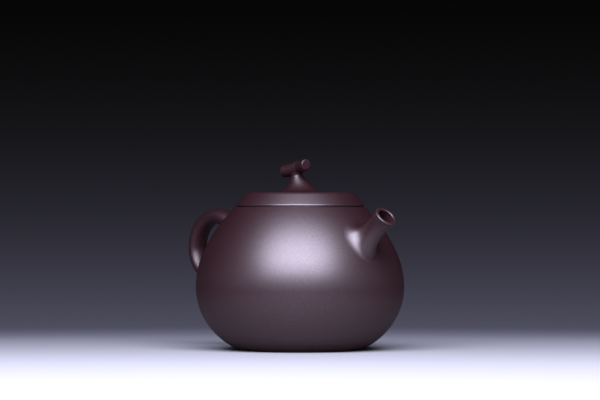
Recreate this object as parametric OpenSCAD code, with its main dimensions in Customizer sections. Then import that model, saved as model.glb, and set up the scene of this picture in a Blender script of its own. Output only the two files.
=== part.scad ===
// Round clay teapot with a flat lid, a twig knob, a short spout and an ear handle.
// The pot stands on the plane z = 0 with its axis on Z; the spout points along +X
// and the handle along -X. The lid lifts off along +Z. Sizes are in millimetres.

/* [Body] */
// Diameter at the belly, the widest line of the pot
body_d = 100; // [84:1:120]
// Height of the belly line above the table
belly_z = 30.2; // [25.2:0.2:36.4]
// Height of the mouth above the table
mouth_z = 68.6; // [57:0.2:82.4]
// Outer diameter of the mouth
mouth_d = 61.8; // [56:0.2:74.2]
// Diameter of the opening in the mouth
mouth_bore_d = 52; // [43:0.2:53]
// Diameter of the foot, where the wall meets the table
foot_d = 58.4; // [48.6:0.2:70.2]
// Thickness of the wall
wall_t = 3; // [2.4:0.1:3.6]
// Height of the ring that stiffens the mouth
mouth_ring_h = 3; // [2.4:0.1:4]
// Cut on the outer edge of the mouth ring
mouth_edge = 0.4; // [0.2:0.1:0.8]

/* [Curve of the wall] */
// Lean reached at the mouth, against that of one plain arc from belly to mouth
shoulder_ease = 0.89; // [0.8:0.01:1]
// Share of that lean taken by the tighter curve above the belly
shoulder_turn = 0.49; // [0.3:0.01:0.7]
// Lean reached at the foot, against that of one plain arc from belly to foot
foot_ease = 0.975; // [0.85:0.005:1]
// Share of that lean taken by the tighter curve below the belly
foot_turn = 0.42; // [0.3:0.01:0.7]

/* [Base] */
// Thickness of the base disc
base_t = 3; // [2.4:0.1:3.6]
// Width of the flat ring that the pot rests on
rest_w = 4.6; // [3:0.1:7]
// Rise of the pressed hollow in the middle of the base
base_press = 1.6; // [0.8:0.1:2.4]

/* [Lid] */
// How far the edge of the lid stands out past the mouth
lid_overhang = 0; // [-0.6:0.1:0.6]
// Height of the lid from the mouth to its flat top
lid_h = 7.4; // [6.2:0.1:9]
// Thickness of the flat ring under the lid
lid_seat_t = 2.2; // [1.8:0.1:2.8]
// Thickness of the cover at its middle
lid_cover_t = 3; // [2.4:0.1:3.6]
// Distance from the edge of the lid in to its flat top
lid_slope_w = 6; // [5:0.1:7.6]
// How far the lid's slope bows out from a straight line
lid_bow = 0.5; // [0.2:0.05:1.1]
// Rounding of the lid's lower edge
lid_edge = 0.7; // [0.4:0.1:1]
// Depth of the collar that drops into the mouth
flange_h = 10.5; // [8:0.5:13]
// Thickness of the collar
flange_t = 2.8; // [2.2:0.1:3.4]
// Play between the collar and the mouth, on each side
lid_play = 0.4; // [0.25:0.05:0.8]
// Diameter of the air hole in the lid
air_hole_d = 2.2; // [1.5:0.1:3]
// Distance from the knob's root to the air hole
air_hole_gap = 2.6; // [1.6:0.1:3.6]

/* [Spout] */
// Drop from the mouth to the middle of the spout's root on the wall
spout_drop = 16; // [14:0.1:18]
// Width of the flared root
spout_root_w = 23; // [20:0.2:27]
// Height of the flared root, measured along the wall
spout_root_h = 23.6; // [21:0.2:27]
// How far the flare follows the wall before it lifts off
spout_flare = 5; // [3.5:0.1:6.5]
// Distance outwards from the root to the middle of the lip
spout_out = 14.2; // [12:0.1:17]
// Rise from the root to the middle of the lip
spout_up = 11.3; // [9.4:0.1:13.6]
// Rise of the spout's axis at the lip, in degrees
spout_rise = 44; // [36:1:52]
// How much the spout bends up towards its lip, in degrees
spout_bend = 19; // [5:1:25]
// How far below the lip the spout keeps its line
spout_run = 7.3; // [5:0.1:8.8]
// Outer diameter of the lip
lip_d = 11.4; // [10.6:0.1:13.6]
// Diameter of the bore at the lip
spout_bore_d = 7.8; // [6.4:0.1:9.4]
// Rounding of the lip's two edges
lip_round = 0.5; // [0.2:0.1:1]

/* [Strainer] */
// Diameter of the opening in the wall behind the spout
strainer_d = 14; // [11.6:0.2:15]
// Thickness of the strainer
strainer_t = 1.4; // [1.1:0.1:1.7]
// Diameter of each strainer hole
strainer_hole_d = 1.8; // [1.2:0.1:2]
// Least width of clay left between two strainer holes
strainer_web = 0.5; // [0.4:0.1:1]

/* [Handle] */
// Drop from the mouth to the handle's upper end
handle_drop = 13; // [10:0.2:16]
// Height of the handle's lower end above the belly line
handle_lift = 1.2; // [-4:0.2:3]
// Rise of the upper end where it leaves the wall, in degrees
handle_top_rise = 46; // [38:1:50]
// Rise of the lower end where it leaves the wall, in degrees
handle_low_rise = 3; // [-6:1:12]
// Pull of the upper end on the loop; more makes the loop taller
handle_top_pull = 39; // [32:0.5:46.8]
// Pull of the lower end on the loop; more makes the loop reach further out
handle_low_pull = 43; // [35:0.5:51.6]
// Thickness of the handle at its upper end
handle_top_t = 8; // [6.6:0.1:9.6]
// Thickness of the handle at its lower end
handle_low_t = 6.4; // [5.3:0.1:7.7]
// Width of the handle, across the loop
handle_w = 10.4; // [8.6:0.1:12.5]
// How far each end swells where it meets the wall
handle_root = 2.4; // [1:0.1:3.2]

/* [Knob] */
// Turn of the twig's bough from the handle towards the front, in degrees
knob_turn = 10; // [0:1:360]
// Height of the knot, where the twig forks, above the lid
knot_z = 11.3; // [9.4:0.1:13.6]
// Diameter of the knot
knot_d = 6.9; // [6.3:0.1:8.2]
// Diameter of the stem at its neck
stem_d = 6.3; // [5.2:0.1:6.5]
// Diameter of the stem's spreading root
stem_root_d = 20.6; // [17:0.2:24]
// How far the root follows the lid before it rises
stem_flare = 2; // [0.5:0.1:4]
// Length of straight neck below the knot
stem_neck = 2.6; // [1:0.1:4]
// How far the neck is set over towards the bough
stem_lean = 2; // [0:0.1:2.5]
// Tilt of the neck towards the bough, in degrees
stem_tilt = 9; // [0:1:12]
// Length of the bough, from the knot to where its cut end rounds over
bough_l = 8.3; // [7:0.1:10]
// Drop of the bough, from the knot to its cut end
bough_drop = 1.7; // [0.5:0.1:2.4]
// Diameter of the bough at its cut end
bough_d = 5.5; // [4.6:0.1:6.4]
// Turn of the spur from the line of the bough, in degrees
spur_turn = 20; // [0:1:56]
// Length of the spur, from the knot to where its cut end rounds over
spur_l = 7.8; // [6.6:0.1:9.4]
// Rise of the spur, in degrees
spur_rise = 14; // [8:1:22]
// Diameter of the spur at the knot
spur_root_d = 6; // [5:0.1:6.3]
// Diameter of the spur at its cut end
spur_d = 5; // [4.2:0.1:6]
// Rounding of the cut ends
twig_edge = 0.7; // [0.3:0.1:1]

/* [Hidden] */

clay = [0.32, 0.20, 0.22];
raw_clay = [0.42, 0.27, 0.25];
slip = 0.06;            // film of slip between a shaped piece and what it is stuck to
steps = 12;             // straight steps along each arc of a turned outline
lid_crown = 0.4;        // rise of the lid's top from its crest to the knob
flange_lead = 0.6;      // how much the collar narrows at its lower edge
strainer_rim = 0.8;     // wall left bare round the strainer, inside the spout
strainer_set = 0.6;     // how far the strainer's dome starts inside the wall
STRAINER_REACH = 62;    // furthest lean of a ring of holes from the strainer's crown
throat_run = 4;         // length over which the bore leaves the wall squarely
eps = 0.01;             // overshoot of a cut past a face

body_r = body_d / 2;
mouth_r = mouth_d / 2;
foot_r = foot_d / 2;
lid_r = mouth_r + lid_overhang;
flange_r = mouth_bore_d / 2 - lid_play;
flange_in_r = flange_r - flange_t;
lid_top_z = mouth_z + lid_h;
lid_seat_z = mouth_z + lid_seat_t;

// ---- The turned outline of the pot ----
// Each half of the wall is two arcs that share a tangent and leave the belly upright.

// Lean of one plain arc that leaves upright and moves dx in while it moves dz along
function arc_lean(dx, dz) = 2 * atan(dx / dz);

// Radii of the two arcs that turn through `turn`, then on to `lean`, over dx and dz
function arc_radii(dx, dz, lean, turn) =
    let (
        a = 1 - cos(turn),
        b = cos(turn) - cos(lean),
        c = sin(turn),
        d = sin(lean) - sin(turn)
    )
    [dx * d - b * dz, a * dz - c * dx] / (a * d - b * c);

// One half as two arcs [centre x, centre z, radius, start angle, end angle]; side is 1
// above the belly and -1 below it
function half_arcs(side, dx, dz, ease, share) =
    let (
        lean = ease * arc_lean(dx, dz),
        turn = share * lean,
        r = arc_radii(dx, dz, lean, turn),
        x = body_r - r[0],
        shift = r[0] - r[1]
    )
    [
        [x, belly_z, r[0], 0, side * turn],
        [x + shift * cos(turn), belly_z + side * shift * sin(turn), r[1], side * turn, side * lean],
    ];

UPPER = half_arcs(1, body_r - mouth_r, mouth_z - belly_z, shoulder_ease, shoulder_turn);
LOWER = half_arcs(-1, body_r - foot_r, belly_z, foot_ease, foot_turn);

// The arc that carries the wall at height z, when it is moved out by `out`
function arc_at(z, out) =
    z >= belly_z
        ? (z < UPPER[0][1] + (UPPER[0][2] + out) * sin(UPPER[0][4]) ? UPPER[0] : UPPER[1])
        : (z > LOWER[0][1] + (LOWER[0][2] + out) * sin(LOWER[0][4]) ? LOWER[0] : LOWER[1]);

// Radius of the wall's outside at height z, moved out by `out`
function wall_r(z, out = 0) =
    let (a = arc_at(z, out), r = a[2] + out, dz = z - a[1])
    a[0] + sqrt(max(0, r * r - dz * dz));

// Angle above level at which the wall faces at height z
function wall_tilt(z) = let (a = arc_at(z, 0)) asin((z - a[1]) / a[2]);

// Direction in which the wall faces at a point on it
function wall_normal(p) =
    let (tilt = wall_tilt(p.z), r = norm([p.x, p.y]))
    [p.x / r * cos(tilt), p.y / r * cos(tilt), sin(tilt)];

// Points along an arc [centre x, centre z, radius, start angle, end angle]
function arc_points(a, out, from, to) =
    [for (i = [0 : steps]) let (t = from + (to - from) * i / steps)
        [a[0] + (a[2] + out) * cos(t), a[1] + (a[2] + out) * sin(t)]];

// Points along the arc from p to q that bows out by `bow` to the right of the way
function bowed(p, q, bow, n = steps) =
    let (
        half = norm(q - p) / 2,
        r = (half * half + bow * bow) / (2 * bow),
        side = [q.y - p.y, p.x - q.x] / (2 * half),
        centre = (p + q) / 2 + side * (bow - r),
        spread = asin(half / r),
        mid = atan2(side.y, side.x)
    )
    [for (i = [0 : n]) let (t = mid + spread * (2 * i / n - 1)) centre + r * [cos(t), sin(t)]];

// Filled outline of the pot, from its axis to the wall moved out by `out`
module pot_outline(out = 0) {
    points = concat(
        arc_points(LOWER[1], out, LOWER[1][4], LOWER[1][3]),
        arc_points(LOWER[0], out, LOWER[0][4], LOWER[0][3]),
        arc_points(UPPER[0], out, UPPER[0][3], UPPER[0][4]),
        arc_points(UPPER[1], out, UPPER[1][3], UPPER[1][4])
    );
    top = points[len(points) - 1];
    polygon(concat([[0, points[0].y]], points, [[0, top.y]]));
}

// Filled outline of the lid above the mouth, from its axis to its edge
module lid_outline() {
    rim = [lid_r, mouth_z + lid_edge];
    crest = [lid_r - lid_slope_w, lid_top_z - lid_crown];
    polygon(concat(
        [[0, mouth_z]],
        bowed([lid_r - lid_edge, mouth_z], rim, (1 - sqrt(0.5)) * lid_edge, 5),
        bowed(rim, crest, lid_bow),
        [[stem_root_d / 2, lid_top_z], [0, lid_top_z]]
    ));
}

// What lies between two heights, outside a radius
module band(low, high, r = 0) {
    translate([r, low])
        square([body_d, high - low]);
}

// ---- Surfaces through rows of points ----

// Vector turned about the Z axis
function turned(v, angle) =
    [v.x * cos(angle) - v.y * sin(angle), v.x * sin(angle) + v.y * cos(angle), v.z];

// Direction that rises by `rise`, and is turned from +X by `angle`
function heading(rise, angle = 0) = turned([cos(rise), 0, sin(rise)], angle);

// Points round an oval that lies across the direction heading(rise, angle)
function oval(centre, rise, half_w, half_t, n, angle = 0) =
    [for (i = [0 : n - 1]) let (t = 360 * i / n)
        centre + turned(
            [-sin(rise) * half_t * sin(t), half_w * cos(t), cos(rise) * half_t * sin(t)],
            angle)];

// Slide p along `way` to the wall moved out by the slip, halving the stretch 24 times
function to_wall(p, way, near = -40, far = 40, n = 24) =
    let (mid = (near + far) / 2, q = p + way * mid)
    n == 0 ? q
        : norm([q.x, q.y]) < wall_r(q.z, slip) ? to_wall(p, way, mid, far, n - 1)
        : to_wall(p, way, near, mid, n - 1);

// A row of points moved on to the wall
function row_to_wall(row, way) = [for (p = row) to_wall(p, way)];

// From each foot point, step `reach` along the surface there towards the aim point
function along_surface(feet, normals, aims, reach) =
    [for (i = [0 : len(feet) - 1])
        let (
            w = aims[i] - feet[i],
            flat = w - (w * normals[i]) * normals[i]
        )
        feet[i] + flat * reach / norm(flat)];

// Rows of a cubic curve whose four controls are whole rows
function curve_rows(a, b, c, d, n, from = 0) =
    [for (i = [from : n]) let (t = i / n, s = 1 - t)
        s * s * s * a + 3 * s * s * t * b + 3 * s * t * t * c + t * t * t * d];

// Solid skin over rows of points: the rows join up end to end, or each end closes to a point
module skin(rows, first = undef, last = undef) {
    n = len(rows);
    m = len(rows[0]);
    joined = is_undef(first);
    points = concat([for (row = rows) each row], joined ? [] : [first, last]);
    sides = [for (i = [0 : joined ? n - 1 : n - 2], j = [0 : m - 1])
        let (
            k = (i + 1) % n,
            l = (j + 1) % m
        )
        each [[i * m + j, k * m + j, k * m + l], [i * m + j, k * m + l, i * m + l]]];
    ends = joined ? [] : [for (j = [0 : m - 1]) let (l = (j + 1) % m)
        each [[n * m, j, l], [n * m + 1, (n - 1) * m + l, (n - 1) * m + j]]];
    polyhedron(points, concat(sides, ends), convexity = 10);
}

// ---- Body ----

spout_root_z = mouth_z - spout_drop;
spout_root = [wall_r(spout_root_z), 0, spout_root_z];
spout_root_tilt = wall_tilt(spout_root_z);

// Places its children on the wall at the spout's root, with +Z pointing out of the wall
module at_spout_root() {
    translate(spout_root)
        rotate([0, 90 - spout_root_tilt, 0])
            children();
}

// Swelling wall from the base disc up to the mouth ring, opened behind the spout
module body_wall() {
    color(clay)
        difference() {
            rotate_extrude($fn = 180)
                intersection() {
                    difference() {
                        pot_outline();
                        pot_outline(-wall_t);
                    }
                    band(base_t, mouth_z - mouth_ring_h);
                }
            at_spout_root()
                translate([0, 0, -2 * wall_t])
                    cylinder(h = 3 * wall_t, d = strainer_d, $fn = 72);
        }
}

// Pressed disc that closes the bottom: a flat ring to rest on round a shallow hollow
module base_disc() {
    hollow_r = foot_r - rest_w;
    floor_r = wall_r(base_t, -wall_t);
    color(raw_clay)
        rotate_extrude($fn = 180)
            difference() {
                union() {
                    intersection() {
                        pot_outline();
                        band(0, base_t);
                    }
                    polygon(concat([[0, base_t]], half_dome(floor_r, base_t, base_press)));
                }
                polygon(concat([[0, -eps]], half_dome(hollow_r, 0, base_press)));
            }
}

// Half of a shallow dome's outline, from its edge at [r, z] up to the axis
function half_dome(r, z, rise) =
    let (sphere_r = (r * r + rise * rise) / (2 * rise), spread = asin(r / sphere_r))
    [for (i = [0 : steps]) let (t = spread * (1 - i / steps))
        [sphere_r * sin(t), z + rise - sphere_r * (1 - cos(t))]];

// Ring that stiffens the mouth and carries the lid
module mouth_ring() {
    color(clay)
        rotate_extrude($fn = 180)
            difference() {
                intersection() {
                    pot_outline();
                    band(mouth_z - mouth_ring_h, mouth_z, mouth_bore_d / 2);
                }
                polygon([
                    [mouth_r - mouth_edge, mouth_z + eps],
                    [mouth_r + mouth_edge, mouth_z + eps],
                    [wall_r(mouth_z - mouth_edge) + eps, mouth_z - mouth_edge],
                ]);
            }
}

// ---- Spout ----

SPOUT_SIDES = 36;

// Short tapering spout whose flared root lies on the wall; its lip is rounded over
module spout() {
    tip = spout_root + [spout_out, 0, spout_up];
    below = tip - spout_run * heading(spout_rise - spout_bend);
    lip_r = lip_d / 2;
    bore_r = spout_bore_d / 2;
    out = [cos(spout_root_tilt), 0, sin(spout_root_tilt)];

    function root_row(half_w, half_h) =
        row_to_wall(oval(spout_root, spout_root_tilt, half_w, half_h, SPOUT_SIDES), out);
    function tip_row(centre, r) = oval(centre, spout_rise, r, r, SPOUT_SIDES);

    feet = root_row(spout_root_w / 2, spout_root_h / 2);
    neck = tip_row(below, lip_r);
    outside = curve_rows(
        feet,
        along_surface(feet, [for (p = feet) wall_normal(p)], neck, spout_flare),
        neck,
        tip_row(tip, lip_r),
        14);

    // The lip is cut across, and both its edges are rounded as far as the clay is thick
    lip_edge = min(lip_round, 0.45 * (lip_r - bore_r));
    function lip_row(a, mid_r) =
        tip_row(tip + lip_edge * sin(a) * heading(spout_rise), mid_r + lip_edge * cos(a));
    lip = concat(
        [for (a = [30 : 30 : 90]) lip_row(a, lip_r - lip_edge)],
        [for (a = [90 : 30 : 150]) lip_row(a, bore_r + lip_edge)]);

    // The bore widens from the lip to a throat a little wider than the strainer
    throat_r = strainer_d / 2 + strainer_rim;
    throat = root_row(throat_r, throat_r);
    bore = curve_rows(
        tip_row(tip, bore_r),
        tip_row(below, bore_r),
        throat + [for (p = throat) throat_run * out],
        throat,
        8);

    // Two rows keep the root's underside on the curve of the wall
    under = [for (k = [1, 2]) let (s = k / 3)
        root_row(
            throat_r + s * (spout_root_w / 2 - throat_r),
            throat_r + s * (spout_root_h / 2 - throat_r))];

    color(clay)
        skin(concat(outside, lip, bore, under));
}

// Perforated dome set in the wall behind the spout, bulging into the pot
module spout_strainer() {
    dome_r = strainer_d / 2 - slip;
    seat_z = -wall_t - strainer_set;
    color(raw_clay)
        at_spout_root()
            difference() {
                rotate_extrude($fn = 72)
                    union() {
                        translate([0, seat_z])
                            intersection() {
                                difference() {
                                    circle(dome_r, $fn = 72);
                                    circle(dome_r - strainer_t, $fn = 72);
                                }
                                translate([0, -2 * dome_r])
                                    square([2 * dome_r, 2 * dome_r]);
                            }
                        translate([dome_r - strainer_t, seat_z])
                            square([strainer_t, -seat_z - wall_t / 3]);
                    }
                translate([0, 0, seat_z])
                    strainer_holes(dome_r);
            }
}

// Ways of the strainer's holes, each as its lean from the crown and its turn: one hole at
// the crown, and a ring at each further step, as long as it stays clear of the rim
function hole_ways(inner_r, pitch) =
    let (step = pitch / inner_r * 180 / PI)
    concat(
        [[0, 0]],
        [for (lean = [step : step : STRAINER_REACH])
            let (n = floor(2 * PI * inner_r * sin(lean) / pitch))
            for (i = [0 : n - 1]) [lean, 360 * i / n]]);

// Cutters for the holes of a strainer that is centred on the origin
module strainer_holes(dome_r) {
    for (way = hole_ways(dome_r - strainer_t, strainer_hole_d + strainer_web))
        rotate([0, 180 - way[0], way[1]])
            translate([0, 0, dome_r - 1.5 * strainer_t])
                cylinder(h = 2 * strainer_t, d = strainer_hole_d, $fn = 24);
}

// ---- Handle ----

HANDLE_SIDES = 24;
LOOP_ROWS = 28;         // rows along the loop between its two roots
loop_start = 0.08;      // share of the loop's curve taken by the upper root
loop_end = 0.93;        // share of the curve at which the lower root starts
root_arm = 0.45;        // length of a root's own line, as a share of the root
root_cling = 0.8;       // how far a root follows the wall, as a share of its swell

// Ear-shaped loop with an oval section that thins towards its lower end
module handle() {
    // The loop lies in the XZ plane on a cubic curve between its two ends on the wall
    top_z = mouth_z - handle_drop;
    low_z = belly_z + handle_lift;
    top = [-wall_r(top_z), 0, top_z];
    low = [-wall_r(low_z), 0, low_z];
    top_pull = top + handle_top_pull * [-cos(handle_top_rise), 0, sin(handle_top_rise)];
    low_pull = low + handle_low_pull * [-cos(handle_low_rise), 0, sin(handle_low_rise)];

    function middle(t) = let (s = 1 - t)
        s * s * s * top + 3 * s * s * t * top_pull + 3 * s * t * t * low_pull + t * t * t * low;
    function way(t) = let (
            s = 1 - t,
            w = s * s * (top_pull - top) + 2 * s * t * (low_pull - top_pull) + t * t * (low - low_pull)
        )
        w / norm(w);
    function section(t, swell = 0) =
        oval(middle(t), atan2(way(t).z, way(t).x), handle_w / 2 + swell,
            (handle_top_t * (1 - t) + handle_low_t * t) / 2 + swell, HANDLE_SIDES);

    // At each end the skin leaves the wall along its surface and joins the loop's own line
    function root_rows(t_wall, t_free) =
        let (
            side = t_free > t_wall ? 1 : -1,
            feet = row_to_wall(section(t_wall, handle_root), side * way(t_wall)),
            free = section(t_free),
            arm = norm(middle(t_free) - middle(t_wall)) * root_arm,
            aims = [for (p = free) p - side * arm * way(t_free)]
        )
        curve_rows(
            feet,
            along_surface(feet, [for (p = feet) wall_normal(p)], aims, root_cling * handle_root),
            aims,
            free,
            5);

    // Row half way in under an end, so that its underside keeps the curve of the wall
    function under_row(t, half_t, out) = row_to_wall(section(t, -half_t / 2), out);

    upper = root_rows(0, loop_start);
    lower = root_rows(1, loop_end);
    loop = [for (i = [1 : LOOP_ROWS - 1]) section(loop_start + (loop_end - loop_start) * i / LOOP_ROWS)];
    lower_up = [for (i = [len(lower) - 1 : -1 : 0]) lower[i]];

    color(clay)
        skin(
            concat(
                [under_row(0, handle_top_t / 2, way(0))],
                upper,
                loop,
                lower_up,
                [under_row(1, handle_low_t / 2, -way(1))]),
            to_wall(top, way(0)),
            to_wall(low, -way(1)));
}

// ---- Lid ----

// Sloping cover of the lid, hollowed below, with its air hole beside the knob
module lid_cover() {
    hollow_z = lid_top_z - lid_cover_t;
    color(clay)
        difference() {
            rotate_extrude($fn = 180)
                difference() {
                    intersection() {
                        lid_outline();
                        band(lid_seat_z, lid_top_z);
                    }
                    polygon(concat(
                        [[0, lid_seat_z - eps]],
                        half_dome(flange_in_r, lid_seat_z, hollow_z - lid_seat_z)
                    ));
                }
            translate([0, stem_root_d / 2 + air_hole_gap + air_hole_d / 2, mouth_z])
                cylinder(h = 2 * lid_h, d = air_hole_d, $fn = 32);
        }
}

// Flat ring under the cover, which rests on the mouth ring
module lid_seat() {
    color(clay)
        rotate_extrude($fn = 180)
            intersection() {
                lid_outline();
                band(mouth_z, lid_seat_z, flange_in_r);
            }
}

// Collar under the lid that keeps it in the mouth
module lid_flange() {
    color(raw_clay)
        rotate_extrude($fn = 180)
            polygon([
                [flange_in_r, mouth_z - flange_h],
                [flange_r - flange_lead, mouth_z - flange_h],
                [flange_r, mouth_z - flange_h + 2 * flange_lead],
                [flange_r, mouth_z],
                [flange_in_r, mouth_z],
            ]);
}

// ---- Knob ----
// The twig is drawn with its bough along -X, then turned to its place on the lid.

KNOB_SIDES = 24;

knot = [-0.6 * stem_lean, 0, lid_top_z + knot_z];
knot_r = knot_d / 2;
bough_tip = knot - [bough_l, 0, bough_drop];
bough_pull = knot - [bough_l / 2, 0, 0.8 * bough_drop];

// The bough's middle line, its rise and its radius, from its cut end at 0 to the knot at 1
function bough_mid(t) = let (s = 1 - t) s * s * bough_tip + 2 * s * t * bough_pull + t * t * knot;
function bough_rise(t) = let (w = (1 - t) * (bough_pull - bough_tip) + t * (knot - bough_pull))
    atan2(w.z, w.x);
function bough_r(t) = bough_d / 2 * (1 - t) + knot_r * t;

// Clearance of a point from the bough and its knot
function bough_gap(p) = min([for (t = [0 : 0.04 : 1]) norm(p - bough_mid(t)) - bough_r(t)]);

// Slide p along `way` to the bough moved out by the slip, halving the stretch 16 times
function to_bough(p, way, near = 0, far = 8, n = 16) =
    let (mid = (near + far) / 2)
    n == 0 ? p + way * near
        : bough_gap(p + way * mid) > slip ? to_bough(p, way, mid, far, n - 1)
        : to_bough(p, way, near, mid, n - 1);

// A row of points moved on to the bough
function row_to_bough(row, way) = [for (p = row) to_bough(p, way)];

// Stem of the twig: spreads over the lid like a root and carries the knot
module knob_stem() {
    neck = [-stem_lean, 0, knot.z - 1.25 * knot_r];
    up = heading(90 + stem_tilt);
    function neck_row(r) = oval(neck, 90 + stem_tilt, r, r, KNOB_SIDES);
    feet = oval([0, 0, lid_top_z], 90, stem_root_d / 2, stem_root_d / 2, KNOB_SIDES);
    aims = [for (p = neck_row(stem_d / 2)) p - stem_neck * up];
    color(clay)
        rotate([0, 0, knob_turn])
            skin(
                concat(
                    curve_rows(
                        feet,
                        along_surface(feet, [for (p = feet) [0, 0, 1]], aims, stem_flare),
                        aims,
                        neck_row(stem_d / 2),
                        12),
                    [for (i = [4 : -1 : 1]) row_to_bough(neck_row(stem_d / 2 * i / 4), up)]),
                [0, 0, lid_top_z],
                to_bough(neck, up));
}

// Bough of the twig: cut across at its tip, and rounded into the knot at its other end
module knob_bough() {
    function row(t, past = 0, less = 0) =
        oval(bough_mid(t) + past * heading(bough_rise(t)), bough_rise(t),
            bough_r(t) - less, bough_r(t) - less, KNOB_SIDES);
    color(clay)
        rotate([0, 0, knob_turn])
            skin(
                concat(
                    [for (a = [90 : -30 : 30]) row(0, -twig_edge * sin(a), twig_edge * (1 - cos(a)))],
                    [for (i = [0 : 10]) row(i / 10)],
                    [for (a = [18 : 18 : 72]) row(1, knot_r * sin(a), knot_r * (1 - cos(a)))]),
                bough_tip - twig_edge * heading(bough_rise(0)),
                knot + knot_r * heading(bough_rise(1)));
}

// Short cut shoot that leaves the knot on the other side
module knob_spur() {
    out = heading(spur_rise, -spur_turn);
    free = spur_l - 0.35 * knot_d;      // from here to its end the shoot stands clear of the knot
    function row(along, r) = oval(knot + along * out, spur_rise, r, r, KNOB_SIDES, -spur_turn);
    color(clay)
        rotate([0, 0, knob_turn])
            skin(
                concat(
                    [for (i = [1 : 4]) row_to_bough(row(free, spur_root_d / 2 * i / 4), -out)],
                    [for (i = [0 : 4])
                        row(free + (spur_l - free) * i / 4,
                            (spur_root_d + (spur_d - spur_root_d) * sin(90 * i / 4)) / 2)],
                    [for (a = [30 : 30 : 90])
                        row(spur_l + twig_edge * sin(a), spur_d / 2 - twig_edge * (1 - cos(a)))]),
                to_bough(knot + free * out, -out),
                knot + (spur_l + twig_edge) * out);
}

body_wall();
base_disc();
mouth_ring();
spout();
spout_strainer();
handle();
lid_cover();
lid_seat();
lid_flange();
knob_stem();
knob_bough();
knob_spur();
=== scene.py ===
import bpy
import numpy as np
from mathutils import Matrix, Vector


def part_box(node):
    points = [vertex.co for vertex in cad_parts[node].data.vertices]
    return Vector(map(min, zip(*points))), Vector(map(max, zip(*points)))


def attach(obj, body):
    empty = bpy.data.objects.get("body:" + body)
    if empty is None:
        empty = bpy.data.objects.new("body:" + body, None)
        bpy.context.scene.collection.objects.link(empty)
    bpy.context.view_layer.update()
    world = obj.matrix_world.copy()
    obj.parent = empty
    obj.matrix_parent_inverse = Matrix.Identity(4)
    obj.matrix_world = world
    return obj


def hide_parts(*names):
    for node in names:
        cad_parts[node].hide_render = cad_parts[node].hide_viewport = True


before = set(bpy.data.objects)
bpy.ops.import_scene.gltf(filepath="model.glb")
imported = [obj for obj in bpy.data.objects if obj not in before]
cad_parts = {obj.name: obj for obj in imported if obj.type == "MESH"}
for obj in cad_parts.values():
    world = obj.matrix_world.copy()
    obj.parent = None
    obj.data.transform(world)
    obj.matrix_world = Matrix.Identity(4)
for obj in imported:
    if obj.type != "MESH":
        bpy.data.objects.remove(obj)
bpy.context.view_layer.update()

# ---- Wall of the pot ----
# The swelling wall is beaten from a slab of purple-brown clay, drawn in at the foot and the
# mouth, and rubbed with a horn tool while leather-hard. Fired, it has a satin skin outside
# and stays matt inside. A round opening behind the spout takes the strainer.
MM = 0.001
belly_r, belly_z = 50 * MM, 30.2 * MM
mouth_r, foot_r = 30.9 * MM, 29.2 * MM
mouth_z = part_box("mouth_ring")[1].z
ring_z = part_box("mouth_ring")[0].z
base_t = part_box("body_wall")[0].z
wall_t = 3 * MM
shoulder_ease, shoulder_turn = 0.89, 0.49
foot_ease, foot_turn = 0.975, 0.42


def half_arcs(side, inwards, height, ease, share):
    """Two arcs that share a tangent, leave the belly upright and end `inwards` and `height`
    away from it. They end at `ease` times the lean of one plain arc, and the first turns
    through `share` of that. Their radii solve the two sums of steps in and up. Each arc is
    its centre radius, centre height, own radius, and the turn above level at its ends."""
    lean = ease * 2 * np.arctan(inwards / height)
    turn = share * lean
    steps = [
        [1 - np.cos(turn), np.cos(turn) - np.cos(lean)],
        [np.sin(turn), np.sin(lean) - np.sin(turn)],
    ]
    near, far = np.linalg.solve(steps, [inwards, height])
    x, shift = belly_r - near, near - far
    far_x, far_z = x + shift * np.cos(turn), belly_z + side * shift * np.sin(turn)
    return [
        [x, belly_z, near, 0, side * turn],
        [far_x, far_z, far, side * turn, side * lean],
    ]


upper_arcs = half_arcs(1, belly_r - mouth_r, mouth_z - belly_z, shoulder_ease, shoulder_turn)
lower_arcs = half_arcs(-1, belly_r - foot_r, belly_z, foot_ease, foot_turn)
ARCS = np.array([lower_arcs[1], lower_arcs[0], upper_arcs[0], upper_arcs[1]])


def wall_arc(z, out=0.0):
    """The arc that carries each height: heights are sorted by the three joins, and a join
    is at its arc's centre height plus its radius times the sine of its turn."""
    joins = ARCS[:3, 1] + (ARCS[:3, 2] + out) * np.sin([ARCS[0, 3], 0, ARCS[2, 4]])
    return ARCS[np.searchsorted(joins, z)]


def wall_radius(z, out=0.0):
    """Radius at height z of the wall moved out by `out`: the arc's centre radius plus one
    leg of the triangle whose other leg is the height above the centre."""
    arc = wall_arc(z, out)
    return arc[..., 0] + np.sqrt((arc[..., 2] + out) ** 2 - (z - arc[..., 1]) ** 2)


def wall_facing(points):
    """Unit normal of the wall at points on it: its rise is the sine of the arc's turn, and
    its level part lies along the point's own radius."""
    arc = wall_arc(points[..., 2])
    rise = (points[..., 2] - arc[..., 1]) / arc[..., 2]
    level = points[..., :2] / np.linalg.norm(points[..., :2], axis=-1, keepdims=True)
    return np.concatenate([level * np.sqrt(1 - rise**2)[..., None], rise[..., None]], -1)


def turned(profile, sides=256):
    """Rows of a turned piece: each (radius, height) of the profile is carried round the
    axis by the cosine and sine of equal turns."""
    turn = np.linspace(0, 2 * np.pi, sides, endpoint=False)
    r, z = np.asarray(profile).T
    x, y = np.outer(r, np.cos(turn)), np.outer(r, np.sin(turn))
    return np.stack([x, y, np.outer(z, np.ones(sides))], -1)


def smooth(mesh, crease):
    """Smooth shading, except over edges that bend by more than `crease` degrees."""
    mesh.polygons.foreach_set("use_smooth", np.ones(len(mesh.polygons), bool))
    mesh.set_sharp_from_angle(angle=np.radians(crease))


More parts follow.
